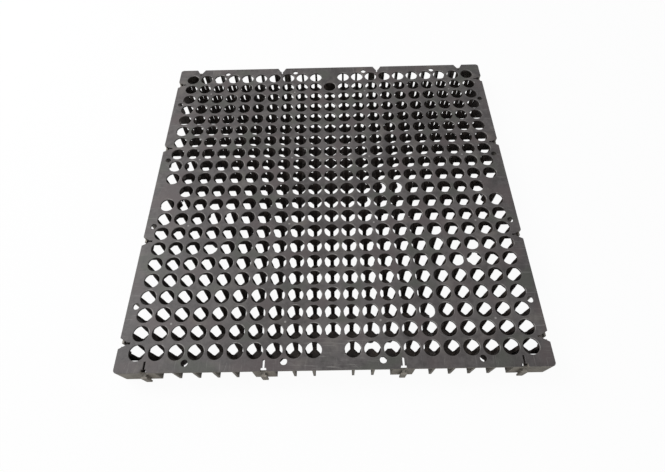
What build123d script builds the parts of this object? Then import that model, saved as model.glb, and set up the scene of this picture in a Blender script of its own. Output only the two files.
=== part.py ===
from build123d import *
import math
import os

# Drainage cell: a square floor tile moulded in one piece from recycled plastic.
# Millimetres, +Z up. The origin is the middle of the underside.

# Whole tile
TILE_SIDE = 500.0
TILE_HEIGHT = 30.0
DECK_T = 2.2
GRID_T = 2.6
CORNER_R = 4.5

# Square pattern of round drain holes in the deck
PITCH = 22.7
RINGS = 10
HOLE_D = 19.2

# Posts that carry the deck, one under each web between two holes
POST_T = 4.8
POST_TOP_W = 3.2
POST_MIDDLE_W = 4.9
MIDDLE_Z = 16.0
POST_KNEE_W = 5.6
KNEE_Z = 6.5
POST_FOOT_W = 9.0

# Four-pointed stars of the bottom grid, one under each hole
STAR_REACH = 7.5

# Fins from the outer stars to the edge
FIN_T = 2.8

# Hollow bosses under the middle of each edge, where a hole is left out
BOSS_OD = 20.0
BOSS_WALL = 2.5

# Screw holes along the edges
SCREW_D = 8.0
SCREW_FROM_EDGE = 10.5
SCREW_STEPS = (-7.5, -2.5, 2.5, 7.5)

# Edge connectors: a wall between two fins, with a clip or with a slot. The walls
# next to a corner run on around it.
CONNECTOR_STEPS = (-9.5, -3.5, 3.5, 9.5)
WALL_T = 2.5
CLIP_STEM_T = 3.0
CLIP_HEAD_W = 6.6
CLIP_HEAD_T = 2.0
CLIP_BOTTOM_Z = 6.0
CLIP_TOP_Z = 24.0
CLIP_PLAY = 0.4

# Notches in the deck edge above the connectors
CLIP_NOTCH_EDGE_W = 8.0
CLIP_NOTCH_BASE_W = 6.0
CLIP_NOTCH_DEPTH = 4.0
SLOT_NOTCH_EDGE_W = 13.0
SLOT_NOTCH_BASE_W = 4.0
SLOT_NOTCH_DEPTH = 8.0
SLIT_W = 2.4
SLIT_DEPTH = 13.0

# Posts broken out of the tile, as (column, row) of the web above them
BROKEN_POSTS = ((2, -9.5), (3, -9.5))

# The tile is kept as strips of neighbouring columns, as (first, last) column
STRIPS = {
    "left_strip": (-10, -6),
    "left_middle_strip": (-5, -2),
    "middle_strip": (-1, 1),
    "right_middle_strip": (2, 5),
    "right_strip": (6, 10),
}

HALF = TILE_SIDE / 2
DECK_Z = TILE_HEIGHT - DECK_T
EDGE_ROW = RINGS * PITCH
ROWS = range(-RINGS, RINGS + 1)
OVER = 1.0

# Edges with clips and with slots, by the turn that brings the +Y edge there
SLOT_TURNS = (0, 90, 270)
CLIP_TURNS = (180,)
SIDE_TURNS = {-RINGS: 90, RINGS: 270}


def closed(points, place=Vector(0, 0, 0)):
    """Closed wire through a list of (x, y) points."""
    return Polyline([Vector(x, y, 0) + place for x, y in points], close=True).wire()


def plate(outer, inner_wires, bottom, top):
    """Flat plate with openings, from one height to another."""
    face = Face(outer, inner_wires).moved(Location((0, 0, bottom)))
    return Solid.extrude(face, Vector(0, 0, top - bottom))


def prism(points, bottom, top):
    """Solid over a closed outline of (x, y) points, from one height to another."""
    return plate(closed(points), [], bottom, top)


def placed(shape, x, y, turn=0):
    """The shape turned about +Z at the origin, then set down at a point."""
    return shape.moved(Location((x, y, 0), (0, 0, turn)))


def turned(x, y, turn):
    """A point of the +Y edge, turned onto another edge."""
    angle = math.radians(turn)
    return (round(x * math.cos(angle) - y * math.sin(angle), 6),
            round(x * math.sin(angle) + y * math.cos(angle), 6))


def limits(columns):
    """Least and greatest X of a strip."""
    first, last = columns[0], columns[-1]
    low = -HALF if first == -RINGS else (first - 0.5) * PITCH
    high = HALF if last == RINGS else (last + 0.5) * PITCH
    return low, high


def edge_steps(columns, turn, steps):
    """Places of an edge's features that lie in a strip, as steps along the edge."""
    low, high = limits(columns)
    return [step for step in steps
            if low < turned(step * PITCH, HALF - OVER, turn)[0] < high]


def strip_turns(columns):
    """Turns of the tile's edges that a strip touches."""
    return [0, 180] + [turn for end, turn in SIDE_TURNS.items() if end in columns]


def deck(columns):
    """Top plate of a strip with its drain holes and screw holes."""
    low, high = limits(columns)
    corners = [(low, -HALF), (high, -HALF), (high, HALF), (low, HALF)]
    outline = Face(closed(corners))
    rounded = [v for v in outline.vertices() if math.isclose(abs(v.X), HALF)]
    if rounded:
        outline = outline.fillet_2d(CORNER_R, rounded)
    openings = []
    for column in columns:
        for row in ROWS:
            if (abs(column), abs(row)) not in ((0, RINGS), (RINGS, 0)):
                ring = Wire.make_circle(HOLE_D / 2)
                openings.append(placed(ring, column * PITCH, row * PITCH))
    for turn in strip_turns(columns):
        for step in edge_steps(columns, turn, SCREW_STEPS):
            x, y = turned(step * PITCH, HALF - SCREW_FROM_EDGE, turn)
            openings.append(placed(Wire.make_circle(SCREW_D / 2), x, y))
    return plate(outline.outer_wire(), openings, DECK_Z, TILE_HEIGHT)


def star_side(count):
    """Outer halves of a row of stars, left to right about the row's middle."""
    tip = POST_T / 2
    points = []
    for index in range(count):
        x = (index - (count - 1) / 2) * PITCH
        points += [(x - STAR_REACH, tip), (x - tip, STAR_REACH),
                   (x + tip, STAR_REACH), (x + STAR_REACH, tip)]
    return points[:-2]


def bottom_grid(columns):
    """Stars joined by bars, with an eight-sided opening between each four stars."""
    middle = (columns[0] + columns[-1]) / 2 * PITCH
    depth = (len(columns) - 1) / 2 * PITCH
    across = [(x, y + EDGE_ROW) for x, y in star_side(len(columns))]
    along = [(y + depth, -x) for x, y in star_side(len(ROWS))]
    half = across + along
    outline = half + [(-x, -y) for x, y in half]
    outer = closed(outline, Vector(middle, 0, 0))

    reach = PITCH / 2 - POST_T / 2
    short = PITCH / 2 - STAR_REACH
    quarter = [(short, reach), (reach, short)]
    opening = []
    for turn in (0, 270, 180, 90):
        opening += [turned(x, y, turn) for x, y in quarter]
    openings = []
    for column in columns[:-1]:
        for row in ROWS[:-1]:
            place = Vector((column + 0.5) * PITCH, (row + 0.5) * PITCH, 0)
            openings.append(closed(opening, place))
    return plate(outer, openings, 0, GRID_T)


def post_outline():
    """Side of a post from top to foot, as (half width, height)."""
    return [
        (POST_TOP_W / 2, DECK_Z),
        (POST_MIDDLE_W / 2, MIDDLE_Z),
        (POST_KNEE_W / 2, KNEE_Z),
        (POST_FOOT_W / 2, GRID_T),
    ]


def upright(points, thickness):
    """Solid over an outline of (y, z) points, with its thickness centred on X."""
    corners = [Vector(-thickness / 2, y, z) for y, z in points]
    face = Face(Polyline(corners, close=True).wire())
    return Solid.extrude(face, Vector(thickness, 0, 0))


def post():
    """Post under the web between two holes of a column."""
    right = post_outline()
    return upright(right + [(-y, z) for y, z in reversed(right)], POST_T)


def fin(length, thickness):
    """Upright from the star at the origin to a plane at +Y, with its bottom bar."""
    inner = [(PITCH / 2 - half, z) for half, z in post_outline()[:-1]]
    heel = STAR_REACH - POST_T
    outline = inner + [(heel, GRID_T), (heel, 0), (length, 0), (length, DECK_Z)]
    return upright(outline, thickness)


def posts(columns):
    """Posts of a strip in both directions, and half posts on its cut sides."""
    whole, half = post(), fin(PITCH / 2, POST_T)
    shapes = []
    for column in columns:
        for row in ROWS[:-1]:
            if (column, row + 0.5) not in BROKEN_POSTS:
                shapes.append(placed(whole, column * PITCH, (row + 0.5) * PITCH))
    for row in ROWS:
        for column in columns[:-1]:
            shapes.append(placed(whole, (column + 0.5) * PITCH, row * PITCH, 90))
        if columns[0] != -RINGS:
            shapes.append(placed(half, columns[0] * PITCH, row * PITCH, 90))
        if columns[-1] != RINGS:
            shapes.append(placed(half, columns[-1] * PITCH, row * PITCH, 270))
    return shapes


def wall(step):
    """Connector wall of the +Y edge, from fin to fin."""
    x, half = step * PITCH, PITCH / 2 + FIN_T / 2
    return prism([(x - half, HALF - WALL_T), (x + half, HALF - WALL_T),
                  (x + half, HALF), (x - half, HALF)], 0, DECK_Z)


def corner_wall():
    """Connector walls of the +X +Y corner, in one piece around it."""
    start, inside = EDGE_ROW - PITCH - FIN_T / 2, HALF - WALL_T
    angle = Face(closed([(start, inside), (inside, inside), (inside, start),
                         (HALF, start), (HALF, HALF), (start, HALF)]))
    bends = [v for v in angle.vertices() if math.isclose(v.X, v.Y)]
    outer = max(bends, key=lambda v: v.X)
    inner = min(bends, key=lambda v: v.X)
    angle = angle.fillet_2d(CORNER_R, [outer]).fillet_2d(CORNER_R - WALL_T, [inner])
    return plate(angle.outer_wire(), [], 0, DECK_Z)


def clip(step):
    """T-shaped clip that stands out from a wall of the +Y edge."""
    x = step * PITCH
    neck = HALF + WALL_T + CLIP_PLAY
    stem, head = CLIP_STEM_T / 2, CLIP_HEAD_W / 2
    side = [(stem, HALF - WALL_T / 2), (stem, neck), (head, neck),
            (head, neck + CLIP_HEAD_T)]
    outline = [(x + a, b) for a, b in side] + [(x - a, b) for a, b in reversed(side)]
    return prism(outline, CLIP_BOTTOM_Z, CLIP_TOP_Z)


def notch(step, edge_w, base_w, depth, bottom):
    """Cutter for a tapered notch in the +Y edge that runs on as a narrow slit."""
    x = step * PITCH
    flare = (edge_w - base_w) / 2 / depth * OVER
    side = [(edge_w / 2 + flare, HALF + OVER), (base_w / 2, HALF - depth),
            (SLIT_W / 2, HALF - depth), (SLIT_W / 2, HALF - SLIT_DEPTH)]
    outline = [(x + a, b) for a, b in side] + [(x - a, b) for a, b in reversed(side)]
    return prism(outline, bottom, TILE_HEIGHT + OVER)


def stem_slot(step):
    """Cutter for the slot in a wall of the +Y edge that takes a clip's stem."""
    x, half = step * PITCH, CLIP_STEM_T / 2 + CLIP_PLAY
    return prism([(x - half, HALF - WALL_T - OVER), (x + half, HALF - WALL_T - OVER),
                  (x + half, HALF + OVER), (x - half, HALF + OVER)],
                 -OVER, CLIP_TOP_Z)


def edge_parts(columns, turn):
    """What one edge of the tile adds to a strip and cuts from it."""
    fins = edge_steps(columns, turn, [step for step in ROWS if step != 0])
    outer = fin(HALF - EDGE_ROW, FIN_T)
    added = [placed(outer, step * PITCH, EDGE_ROW) for step in fins]
    cut = []
    connectors = edge_steps(columns, turn, CONNECTOR_STEPS)
    added += [wall(step) for step in connectors if abs(step) < RINGS - 1]
    if edge_steps(columns, turn, [RINGS]):
        added.append(corner_wall())
    for step in connectors:
        if turn in CLIP_TURNS:
            added.append(clip(step))
            cut.append(notch(step, CLIP_NOTCH_EDGE_W, CLIP_NOTCH_BASE_W,
                             CLIP_NOTCH_DEPTH, CLIP_TOP_Z))
        else:
            cut.append(notch(step, SLOT_NOTCH_EDGE_W, SLOT_NOTCH_BASE_W,
                             SLOT_NOTCH_DEPTH, CLIP_TOP_Z - CLIP_PLAY))
            cut.append(stem_slot(step))
    for step in edge_steps(columns, turn, [0]):
        bore = placed(Solid.make_cylinder(BOSS_OD / 2 - BOSS_WALL, DECK_Z),
                      0, EDGE_ROW)
        added.append(placed(Solid.make_cylinder(BOSS_OD / 2, DECK_Z), 0, EDGE_ROW))
        cut.append(bore)
    return [[placed(shape, 0, 0, turn) for shape in shapes]
            for shapes in (added, cut)]


def strip(first, last):
    """One strip of the tile as a single solid."""
    columns = range(first, last + 1)
    added, cut = [bottom_grid(columns)] + posts(columns), []
    for turn in strip_turns(columns):
        more, less = edge_parts(columns, turn)
        added += more
        cut += less
    return deck(columns).fuse(*added).cut(*cut)


os.makedirs("parts", exist_ok=True)
for name, (first, last) in STRIPS.items():
    export_step(strip(first, last), f"parts/{name}.step", write_pcurves=False)
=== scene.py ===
import math

import bmesh
import bpy
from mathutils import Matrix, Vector, noise


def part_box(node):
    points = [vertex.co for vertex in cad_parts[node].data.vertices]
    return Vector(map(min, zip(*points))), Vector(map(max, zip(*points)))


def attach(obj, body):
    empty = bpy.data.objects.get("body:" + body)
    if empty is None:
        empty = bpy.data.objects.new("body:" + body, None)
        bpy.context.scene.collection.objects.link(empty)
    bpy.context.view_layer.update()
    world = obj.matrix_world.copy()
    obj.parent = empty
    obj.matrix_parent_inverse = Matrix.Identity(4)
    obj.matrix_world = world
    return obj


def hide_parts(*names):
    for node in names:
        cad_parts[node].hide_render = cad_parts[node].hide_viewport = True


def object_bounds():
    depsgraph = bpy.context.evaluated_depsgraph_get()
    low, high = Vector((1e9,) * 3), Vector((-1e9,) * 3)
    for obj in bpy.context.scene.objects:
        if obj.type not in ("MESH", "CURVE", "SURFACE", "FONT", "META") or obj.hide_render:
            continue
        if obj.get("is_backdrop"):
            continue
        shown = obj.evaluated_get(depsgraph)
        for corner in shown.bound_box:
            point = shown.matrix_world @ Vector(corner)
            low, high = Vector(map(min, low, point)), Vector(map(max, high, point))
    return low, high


# Looks of a plastic drainage cell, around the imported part. Metres, +Z up.

# Places that follow the part's own sizes
PITCH = 0.0227
RINGS = 10
HOLE_R = 0.0096
DECK_TOP = 0.030
SIDE = 0.250
POST_T = 0.0048
POST_FOOT_W = 0.009
POST_TOP = 0.0278
BAR_L = 0.0077
SEAMS = (1.5 * PITCH, 5.5 * PITCH)

# Gate marks: columns and rows each way from the middle, and radius
GATES = (2.5 * PITCH, 8.5 * PITCH)
GATE_R = 0.0014

# Broken posts and fins: column and row, in pitches, and how far a stump reaches up
BROKEN = (
    (-10.5, 8, 0.0), (-10.5, 6, 0.0), (-10.5, 5, 0.0), (-10.5, 3, 0.0),
    (-10.5, 2, 0.0), (-10.5, -1, 0.0), (-9.5, 3, 0.0), (-9.5, 0, 0.0),
    (-7.5, -1, 0.0), (-6.5, -1, 0.0), (-7, -3.5, 0.0), (2.5, 0, 0.0),
    (3.5, 1, 0.0), (4.5, 1, 0.0), (2, -9.5, 0.0), (3, -9.5, 0.0),
    (2.5, -9, 0.0075), (5.5, -8, 0.0), (6.5, -3, 0.0), (7.5, -5, 0.0),
    (8.5, -4, 0.0), (8, -4.5, 0.0), (9.5, 0, 0.0),
)

# Where a broken fin's gap starts and ends, out from the middle, by its row
FIN_START = RINGS * PITCH + 0.004
FIN_END = 0.251
FIN_END_BY_ROW = {3: 0.2474, 8: 0.2425}

# The uneven block that breaks a post out
STUB_UNDER_DECK = 0.0012
BLOCK_BELOW = 0.002
BLOCK_MORE_T = 0.0016
BLOCK_MORE_W = 0.0014
BLOCK_CUTS = 5
BLOCK_FOOT = -0.3
ROUGH_SCALE = 420.0
ROUGH_DEPTH = 0.0006
NOISE_SEED = 7

# Repair of a cut mesh: distances for welding and for slivers, and the sharp angle
WELD = 0.000001
SLIVER = 0.000003
SHARP_ANGLE = 30

# The photograph's camera
CAMERA_AT = (0.0056, -0.3590, 0.5295)
CAMERA_TURN = (29.442, 0.942, -0.753)
CAMERA_LENS = 23.52
CAMERA_SENSOR = 36.0
CAMERA_CLIP = (0.01, 50.0)

# Plastic colours, linear
GREY_DARK = (0.073, 0.065, 0.064)
GREY_LIGHT = (0.146, 0.132, 0.130)
BROWN = (0.124, 0.099, 0.099)
GREEN = (0.098, 0.103, 0.086)
# Painted shade: darker brown-black colours for everything below the deck and inside the
# outer walls
INNER_SHADE = (0.048, 0.038, 0.034)
INNER_SHADE_BROWN = (0.105, 0.083, 0.068)
DUST = (0.44, 0.40, 0.34)
# Pale colour of worn marks, also used for the painted highlights on the hole rims
WORN_AND_HIGHLIGHT = (0.42, 0.40, 0.38)

# Noise: scale, detail, roughness
PATCHES = (17.0, 4.0, 0.6)
BLOTCHES = (130.0, 4.0, 0.65)
STAINS = (38.0, 3.0, 0.5)
TINT = (21.0, 2.0, 0.5)
TINT_SHIFT = (3.1, 1.7, 0.4)
FLECKS = (620.0, 4.0, 0.7)
GRAIN = (2300.0, 2.0, 0.6)
DRIFT = (30.0, 5.0, 0.65)
EARTH = (75.0, 5.0, 0.7)
RAGGED = (62.0, 4.0, 0.7)
STREAK = (1.0, 3.0, 0.7)

# Streaks: scale on each axis, turn about Z, and the noise step that shows them
FLOW_Y = ((520.0, 22.0, 22.0), 0.0, (0.58, 0.76))
FLOW_X = ((22.0, 520.0, 22.0), 0.0, (0.58, 0.76))
SCRAPE = ((40.0, 640.0, 40.0), 0.06, (0.54, 0.68))
SCRATCH_ACROSS = ((18.0, 900.0, 18.0), 0.7, (0.66, 0.74))
SCRATCH_ALONG = ((900.0, 18.0, 18.0), 0.25, (0.66, 0.74))

# Soft steps of a noise value: from, to, and what they give at each end
MOTTLE_STEP = (0.38, 0.62)
BROWN_STEP = (0.50, 0.66, 0.0, 0.8)
GREEN_STEP = (0.46, 0.32, 0.0, 0.8)
STAIN_STEP = (0.58, 0.76, 0.0, 0.65)
FLECK_STEP = (0.3, 0.72, 0.0, 0.35)
SPECK_STEP = (0.68, 0.80, 0.0, 0.5)
INNER_SHADE_STEP = (0.45, 0.75)
DUST_STEP = (0.50, 0.78, 0.0, 0.22)
EARTH_STEP = (0.25, 0.7, 0.50, 0.95)
RAGGED_STEP = (0.46, 0.60)
ROUGH_STEP = (0.3, 0.7, 0.42, 0.56)

# Soft steps of a place or an angle, in the same order
LEVEL_STEP = (0.6, 0.95)
DECK_STEP = (DECK_TOP - 0.002, DECK_TOP - 0.001)
DEEP_STEP = (DECK_TOP - 0.0004, DECK_TOP - 0.0026)
INSIDE_STEP = (SIDE - 0.002, SIDE - 0.008)
OUTER_STEP = (SIDE - 0.006, SIDE - 0.001)
BAND_STEP = (SIDE - 0.0145, SIDE - 0.0125)
FRONT_STEP = (-0.19, -0.235)
MIDDLE_STEP = (0.10, 0.02)
# Painted highlight: a pale ring at each hole, strongest on its back right side
RIM_HIGHLIGHT_STEP = (HOLE_R + 0.0007, HOLE_R + 0.0012, 1.0, 0.0)
RIM_HIGHLIGHT_SIDE_STEP = (0.1, 1.1, 0.12, 1.0)
GATE_STEP = (GATE_R * 0.55, GATE_R * 1.2, 1.0, 0.0)
SEAM_STEP = (0.0008, 0.0016, 1.0, 0.0)
EDGE_STEP = (0.985, 0.80)

# How strongly each mark shows in the colour
PATCH_SHARE, BLOTCH_SHARE = 0.6, 0.4
FLOW_SHARE = 0.30
SCUFF_SHARE = 0.40
SCRATCH_SHARE = 0.28
EDGE_SHARE = 0.30
RIM_HIGHLIGHT_SHARE = 0.75
GATE_SHARE = 0.8

# Gloss and relief of the plastic
SPECULAR = 0.42
DUST_ROUGHER = 0.5
EDGE_SMOOTHER = 0.12
BEVEL_R = 0.0009
BEVEL_SAMPLES = 6
BUMP_STRENGTH = 0.35
BUMP_DISTANCE = 0.0006
FLECK_HEIGHT, GRAIN_HEIGHT, STAIN_HEIGHT = 0.5, 0.25, 1.4
SCUFF_DEPTH, SCRATCH_DEPTH = 0.5, 0.4

# Stage
FLOOR_TONE = (0.40, 0.40, 0.40)
FLOOR_REACH, FLOOR_LEVEL = 4.0, -0.0003
FLOOR_SHADED = 0.12
FLOOR_WHITE = 1.08
WHITE = (1.0, 1.0, 1.0)
SKY, SKY_COLOUR = 0.40, (0.95, 0.98, 1.0)
KEY_AT, KEY_SIZE, KEY_W = (-1.25, 0.45, 1.25), 0.9, 18.0
FILL_AT, FILL_SIZE, FILL_W = (0.2, -1.7, 0.50), 1.0, 3.2
FILL_COLOUR = (1.0, 0.98, 0.95)


class Nodes:
    """A short way to write a node tree."""

    def __init__(self, tree):
        self.tree = tree
        tree.nodes.clear()

    def add(self, kind, sockets=None, **settings):
        node = self.tree.nodes.new(kind)
        for name, value in settings.items():
            setattr(node, name, value)
        for name, value in (sockets or {}).items():
            self.put(value, node.inputs[name])
        return node

    def put(self, value, socket):
        if hasattr(value, "is_output"):
            self.tree.links.new(value, socket)
        elif socket.type == "RGBA":
            socket.default_value = tuple(value) + (1.0,)
        else:
            socket.default_value = value

    def math(self, operation, a, b=0.0, clamp=False):
        node = self.add("ShaderNodeMath", {0: a, 1: b}, operation=operation)
        node.use_clamp = clamp
        return node.outputs[0]

    def times(self, first, *others):
        """Product of two or more values."""
        for other in others:
            first = self.math("MULTIPLY", first, other)
        return first

    def rest(self, value):
        """What a share leaves of 1."""
        return self.math("SUBTRACT", 1.0, value)

    def length(self, a, b):
        """Length of a vector with these two parts."""
        return self.math("SQRT", self.math("ADD", self.times(a, a), self.times(b, b)))

    def smooth(self, value, low, high, to_low=0.0, to_high=1.0):
        """Soft step of a value from low to high."""
        node = self.add("ShaderNodeMapRange", {
            "Value": value, "From Min": low, "From Max": high,
            "To Min": to_low, "To Max": to_high}, interpolation_type="SMOOTHSTEP")
        return node.outputs["Result"]

    def noise(self, vector, scale, detail, roughness):
        node = self.add("ShaderNodeTexNoise", {
            "Vector": vector, "Scale": scale, "Detail": detail,
            "Roughness": roughness})
        return node.outputs["Fac"]

    def vector(self, operation, a, b):
        return self.add("ShaderNodeVectorMath", {0: a, 1: b}, operation=operation)

    def blend(self, share, a, b):
        """Colour a where share is 0 and b where it is 1."""
        node = self.add("ShaderNodeMix", data_type="RGBA")
        for index, value in ((0, share), (6, a), (7, b)):
            self.put(value, node.inputs[index])
        return node.outputs[2]


def seam_mask(n, x):
    """1 along the faces where the strips meet."""
    masks = []
    for place in SEAMS:
        gap = n.math("ABSOLUTE", n.math("SUBTRACT", x, place))
        masks.append(n.smooth(gap, *SEAM_STEP))
    return n.math("MAXIMUM", *masks)


def gate_mask(n, x, y):
    """1 on the small round gate marks between the holes."""
    mask = None
    for column in GATES:
        for row in GATES:
            gap = n.length(n.math("SUBTRACT", x, column), n.math("SUBTRACT", y, row))
            spot = n.smooth(gap, *GATE_STEP)
            mask = spot if mask is None else n.math("MAXIMUM", mask, spot)
    return mask


def painted_rim_highlights(n, x, y):
    """1 on a thin ring of the deck at each drain hole, on its back right side: a painted
    highlight.
    """
    across = n.math("DIVIDE", x, PITCH)
    along = n.math("DIVIDE", y, PITCH)
    column = n.math("ROUND", across)
    row = n.math("ROUND", along)
    right = n.math("SUBTRACT", across, column)
    back = n.math("SUBTRACT", along, row)
    gap = n.length(right, back)
    ring = n.smooth(n.times(gap, PITCH), *RIM_HIGHLIGHT_STEP)
    side = n.math("DIVIDE", n.math("ADD", right, back), gap)
    ring = n.times(ring, n.smooth(side, *RIM_HIGHLIGHT_SIDE_STEP))
    column, row = n.math("ABSOLUTE", column), n.math("ABSOLUTE", row)
    furthest = n.math("MAXIMUM", column, row)
    nearest = n.math("MINIMUM", column, row)
    drilled = n.math("LESS_THAN", furthest, RINGS + 0.5)
    boss = n.times(n.math("GREATER_THAN", furthest, RINGS - 0.5),
                   n.math("LESS_THAN", nearest, 0.5))
    return n.times(ring, drilled, n.rest(boss))


def streaks(n, place, scale, turn, step):
    """Thin lines along one direction."""
    turned = n.add("ShaderNodeMapping", {"Vector": place, "Rotation": (0, 0, turn)})
    stretched = n.vector("MULTIPLY", turned.outputs[0], scale).outputs[0]
    return n.smooth(n.noise(stretched, *STREAK), *step)


def mottled(n, place, patches, blotches, stains, flecks):
    """Grey of the recycled plastic, with its tints, stains and flecks."""
    moved = n.vector("ADD", place, TINT_SHIFT).outputs[0]
    tint = n.noise(moved, *TINT)
    mottle = n.math("ADD", n.times(patches, PATCH_SHARE),
                    n.times(blotches, BLOTCH_SHARE))
    colour = n.blend(n.smooth(mottle, *MOTTLE_STEP), GREY_DARK, GREY_LIGHT)
    colour = n.blend(n.smooth(tint, *BROWN_STEP), colour, BROWN)
    colour = n.blend(n.smooth(tint, *GREEN_STEP), colour, GREEN)
    colour = n.blend(n.smooth(stains, *STAIN_STEP), colour, GREY_DARK)
    colour = n.blend(n.smooth(flecks, *FLECK_STEP), colour, GREY_LIGHT)
    return n.blend(n.smooth(flecks, *SPECK_STEP), colour, WORN_AND_HIGHLIGHT)


def flow_lines(n, place, x, y, out):
    """Moulding lines that run along the plain band at each edge."""
    which = n.math("GREATER_THAN", y, x)
    lines = n.add("ShaderNodeMix", {0: which, 2: streaks(n, place, *FLOW_X),
                                    3: streaks(n, place, *FLOW_Y)}).outputs[0]
    return n.times(lines, n.smooth(out, *BAND_STEP))


def recycled_plastic():
    """Dull dark grey plastic with mottling, dust, worn edges, painted highlights on the
    hole rims, painted shade below the deck and gate marks.
    """
    material = bpy.data.materials.new("recycled_plastic")
    material.use_nodes = True
    n = Nodes(material.node_tree)
    place = n.add("ShaderNodeTexCoord").outputs["Object"]
    split = n.add("ShaderNodeSeparateXYZ", {0: place}).outputs
    x, y, z = n.math("ABSOLUTE", split[0]), n.math("ABSOLUTE", split[1]), split[2]
    out = n.math("MAXIMUM", x, y)
    normal = n.add("ShaderNodeNewGeometry").outputs["True Normal"]
    facing = n.add("ShaderNodeSeparateXYZ", {0: normal}).outputs
    up = n.times(n.smooth(facing[2], *LEVEL_STEP), n.smooth(z, *DECK_STEP))

    patches = n.noise(place, *PATCHES)
    blotches = n.noise(place, *BLOTCHES)
    stains = n.noise(place, *STAINS)
    flecks = n.noise(place, *FLECKS)
    grain = n.noise(place, *GRAIN)
    colour = mottled(n, place, patches, blotches, stains, flecks)

    # Painted shade: below the deck and inside the outer walls the colour turns a dark
    # brown-black
    shade_below_deck = n.times(n.smooth(z, *DEEP_STEP), n.smooth(out, *INSIDE_STEP))
    inner_shade = n.blend(n.smooth(blotches, *INNER_SHADE_STEP), INNER_SHADE, INNER_SHADE_BROWN)
    colour = n.blend(shade_below_deck, colour, inner_shade)

    outer = n.times(n.rest(up), n.smooth(out, *OUTER_STEP))
    earth = n.smooth(n.noise(place, *EARTH), *EARTH_STEP)
    dusty = n.times(up, n.smooth(n.noise(place, *DRIFT), *DUST_STEP))
    colour = n.blend(n.times(outer, earth), colour, DUST)
    colour = n.blend(dusty, colour, DUST)

    flow = n.times(flow_lines(n, place, x, y, out), up, FLOW_SHARE)
    colour = n.blend(flow, colour, WORN_AND_HIGHLIGHT)
    front = n.times(n.smooth(split[1], *FRONT_STEP), n.smooth(x, *MIDDLE_STEP))
    scuffs = n.times(front, streaks(n, place, *SCRAPE), up)
    colour = n.blend(n.times(scuffs, SCUFF_SHARE), colour, WORN_AND_HIGHLIGHT)
    scratch = n.math("MAXIMUM", streaks(n, place, *SCRATCH_ACROSS),
                     streaks(n, place, *SCRATCH_ALONG))
    scratch = n.times(scratch, up)
    colour = n.blend(n.times(scratch, SCRATCH_SHARE), colour, WORN_AND_HIGHLIGHT)

    seam = seam_mask(n, x)
    bevel = n.add("ShaderNodeBevel", {"Radius": BEVEL_R},
                  samples=BEVEL_SAMPLES).outputs[0]
    turn = n.vector("DOT_PRODUCT", bevel, normal).outputs["Value"]
    edge = n.times(n.smooth(turn, *EDGE_STEP), n.rest(seam), n.rest(shade_below_deck))
    # Painted highlight: pale arcs on the back right rims of the drain holes, taken
    # together with the worn edges
    ragged = n.smooth(n.noise(place, *RAGGED), *RAGGED_STEP)
    rim_highlights = n.times(painted_rim_highlights(n, split[0], split[1]), ragged, up)
    worn_edges_and_rim_highlights = n.math("MAXIMUM", n.times(edge, EDGE_SHARE), n.times(rim_highlights, RIM_HIGHLIGHT_SHARE))
    colour = n.blend(worn_edges_and_rim_highlights, colour, WORN_AND_HIGHLIGHT)
    gates = n.times(gate_mask(n, x, y), up, GATE_SHARE)
    colour = n.blend(gates, colour, WORN_AND_HIGHLIGHT)

    rough = n.smooth(patches, *ROUGH_STEP)
    rough = n.math("ADD", rough, n.times(dusty, DUST_ROUGHER), clamp=True)
    rough = n.math("SUBTRACT", rough, n.times(edge, EDGE_SMOOTHER))

    height = n.math("ADD", n.times(flecks, FLECK_HEIGHT), n.times(grain, GRAIN_HEIGHT))
    height = n.math("ADD", height, n.times(stains, STAIN_HEIGHT))
    height = n.math("SUBTRACT", height, n.times(scuffs, SCUFF_DEPTH))
    height = n.math("SUBTRACT", height, n.times(scratch, SCRATCH_DEPTH))
    soft = n.add("ShaderNodeMix", data_type="VECTOR")
    for index, value in ((0, seam), (4, bevel), (5, normal)):
        n.put(value, soft.inputs[index])
    bump = n.add("ShaderNodeBump", {
        "Height": height, "Strength": BUMP_STRENGTH, "Distance": BUMP_DISTANCE,
        "Normal": soft.outputs[1]}).outputs[0]

    shader = n.add("ShaderNodeBsdfPrincipled", {
        "Base Color": colour, "Roughness": rough, "Normal": bump,
        "Specular IOR Level": SPECULAR})
    n.add("ShaderNodeOutputMaterial", {"Surface": shader.outputs[0]})
    return material


def new_object(name, form):
    """Object from a bmesh, which is freed."""
    mesh = bpy.data.meshes.new(name)
    form.to_mesh(mesh)
    form.free()
    made = bpy.data.objects.new(name, mesh)
    bpy.context.scene.collection.objects.link(made)
    return made


def add_block(form, column, row, stump):
    """Adds a block with an uneven surface that takes in one post above its stump."""
    start = len(form.verts)
    made = set(bmesh.ops.create_cube(form, size=1.0)["verts"])
    edges = [edge for edge in form.edges if edge.verts[0] in made]
    bmesh.ops.subdivide_edges(form, edges=edges, cuts=BLOCK_CUTS, use_grid_fill=True)
    form.verts.ensure_lookup_table()
    low, high = stump - BLOCK_BELOW, POST_TOP - STUB_UNDER_DECK
    middle = Vector((column * PITCH, row * PITCH, (low + high) / 2))
    width = POST_FOOT_W + BLOCK_MORE_W
    size = Vector((POST_T + BLOCK_MORE_T, width, high - low))
    foot = BAR_L / width
    along = 1
    if row == round(row):
        size.xy = size.yx
        along = 0
    if abs(column) > RINGS:
        end = FIN_END_BY_ROW.get(row, FIN_END)
        middle.x = math.copysign((FIN_START + end) / 2, column)
        size.x = end - FIN_START
        foot = 1.0
    for vert in form.verts[start:]:
        if vert.co.z < BLOCK_FOOT:
            vert.co[along] *= foot
        place = vert.co * size + middle
        vert.co = place + noise.noise_vector(place * ROUGH_SCALE) * ROUGH_DEPTH


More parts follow.
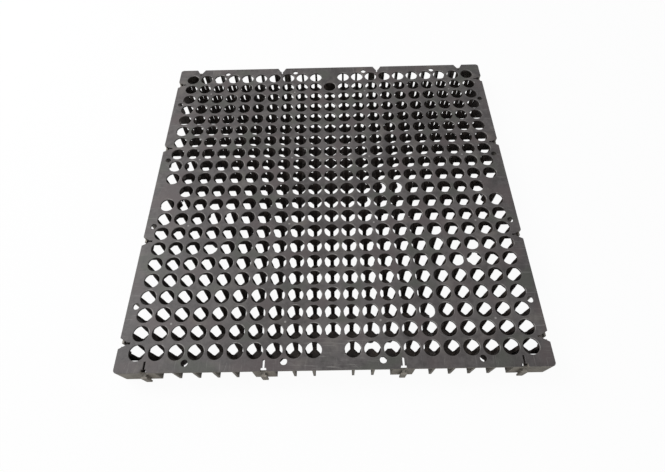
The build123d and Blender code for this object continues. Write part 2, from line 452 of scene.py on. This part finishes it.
def cut_mesh(strip, cutter):
    """Mesh of the strip without the cutter's blocks, with slivers dissolved."""
    tool = strip.modifiers.new("break", "BOOLEAN")
    tool.operation, tool.solver, tool.object = "DIFFERENCE", "EXACT", cutter
    seen = strip.evaluated_get(bpy.context.evaluated_depsgraph_get())
    mesh = bpy.data.meshes.new_from_object(seen)
    strip.modifiers.clear()
    form = bmesh.new()
    form.from_mesh(mesh)
    bmesh.ops.dissolve_degenerate(form, edges=form.edges, dist=SLIVER)
    bmesh.ops.triangulate(form, faces=form.faces)
    form.to_mesh(mesh)
    form.free()
    normals = mesh.attributes.get("custom_normal")
    if normals is not None:
        mesh.attributes.remove(normals)
    mesh.shade_smooth()
    mesh.set_sharp_from_angle(angle=math.radians(SHARP_ANGLE))
    return mesh


def broken_strip(node, posts):
    """Copy of a strip with some of its posts broken out, shown in its place."""
    form = bmesh.new()
    form.from_mesh(node.data)
    bmesh.ops.remove_doubles(form, verts=form.verts, dist=WELD)
    strip = new_object(f"worn_{node.name}", form)
    blocks = bmesh.new()
    for column, row, stump in posts:
        add_block(blocks, column, row, stump)
    bmesh.ops.triangulate(blocks, faces=blocks.faces)
    cutter = new_object("cutter", blocks)
    whole, strip.data = strip.data, cut_mesh(strip, cutter)
    bpy.data.meshes.remove(whole)
    bpy.data.meshes.remove(cutter.data)
    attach(strip, "root")
    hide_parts(node.name)
    return strip


def seen_white(name, shaded_share):
    """Stage material that the camera sees as nearly plain white."""
    material = bpy.data.materials.new(name)
    material.use_nodes = True
    n = Nodes(material.node_tree)
    seen = n.add("ShaderNodeLightPath").outputs["Is Camera Ray"]
    share = n.times(seen, 1.0 - shaded_share)
    lit = n.add("ShaderNodeBsdfDiffuse", {"Color": FLOOR_TONE})
    plain = n.add("ShaderNodeEmission", {"Color": WHITE, "Strength": FLOOR_WHITE})
    mix = n.add("ShaderNodeMixShader", {0: share, 1: lit.outputs[0],
                                        2: plain.outputs[0]})
    n.add("ShaderNodeOutputMaterial", {"Surface": mix.outputs[0]})
    return material


def white_world():
    """Soft daylight all round, white where the camera sees it."""
    world = bpy.data.worlds.new("studio")
    world.use_nodes = True
    n = Nodes(world.node_tree)
    seen = n.add("ShaderNodeLightPath").outputs["Is Camera Ray"]
    light = n.add("ShaderNodeBackground", {"Color": SKY_COLOUR, "Strength": SKY})
    plain = n.add("ShaderNodeBackground", {"Color": WHITE, "Strength": 1.0})
    mix = n.add("ShaderNodeMixShader", {0: seen, 1: light.outputs[0],
                                        2: plain.outputs[0]})
    n.add("ShaderNodeOutputWorld", {"Surface": mix.outputs[0]})
    bpy.context.scene.world = world


def area_light(name, place, size, power, colour):
    """Square area light that faces the origin."""
    data = bpy.data.lights.new(name, "AREA")
    data.shape = "SQUARE"
    data.size, data.energy, data.color = size, power, colour
    light = bpy.data.objects.new(name, data)
    bpy.context.scene.collection.objects.link(light)
    light.location = place
    light.rotation_euler = (-Vector(place)).to_track_quat("-Z", "Y").to_euler()


def floor_plane():
    """Pale floor just under the part."""
    mesh = bpy.data.meshes.new("floor")
    corners = ((-1, -1), (1, -1), (1, 1), (-1, 1))
    mesh.from_pydata([(a * FLOOR_REACH, b * FLOOR_REACH, FLOOR_LEVEL)
                      for a, b in corners], [], [(0, 1, 2, 3)])
    floor = bpy.data.objects.new("floor", mesh)
    bpy.context.scene.collection.objects.link(floor)
    mesh.materials.append(seen_white("pale_floor", FLOOR_SHADED))
    floor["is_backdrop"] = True


def camera():
    """Camera at the photograph's viewing angle."""
    data = bpy.data.cameras.new("camera")
    data.sensor_width, data.lens = CAMERA_SENSOR, CAMERA_LENS
    data.clip_start, data.clip_end = CAMERA_CLIP
    view = bpy.data.objects.new("camera", data)
    bpy.context.scene.collection.objects.link(view)
    view.location = CAMERA_AT
    view.rotation_euler = [math.radians(angle) for angle in CAMERA_TURN]
    bpy.context.scene.camera = view


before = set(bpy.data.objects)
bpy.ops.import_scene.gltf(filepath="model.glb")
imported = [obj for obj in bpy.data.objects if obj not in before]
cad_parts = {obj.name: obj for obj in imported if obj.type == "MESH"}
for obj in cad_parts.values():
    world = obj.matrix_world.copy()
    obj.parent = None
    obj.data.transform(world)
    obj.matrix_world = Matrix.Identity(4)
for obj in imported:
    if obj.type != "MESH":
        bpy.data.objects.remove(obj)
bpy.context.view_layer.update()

noise.seed_set(NOISE_SEED)
plastic = recycled_plastic()
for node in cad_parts.values():
    low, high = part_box(node.name)
    posts = [post for post in BROKEN
             if low[0] - POST_FOOT_W < post[0] * PITCH < high[0] + POST_FOOT_W]
    shown = broken_strip(node, posts) if posts else node
    shown.data.materials.clear()
    shown.data.materials.append(plastic)

floor_plane()
camera()
white_world()
area_light("key", KEY_AT, KEY_SIZE, KEY_W, WHITE)
area_light("fill", FILL_AT, FILL_SIZE, FILL_W, FILL_COLOUR)
bpy.context.scene.view_settings.view_transform = "Standard"

low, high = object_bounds()
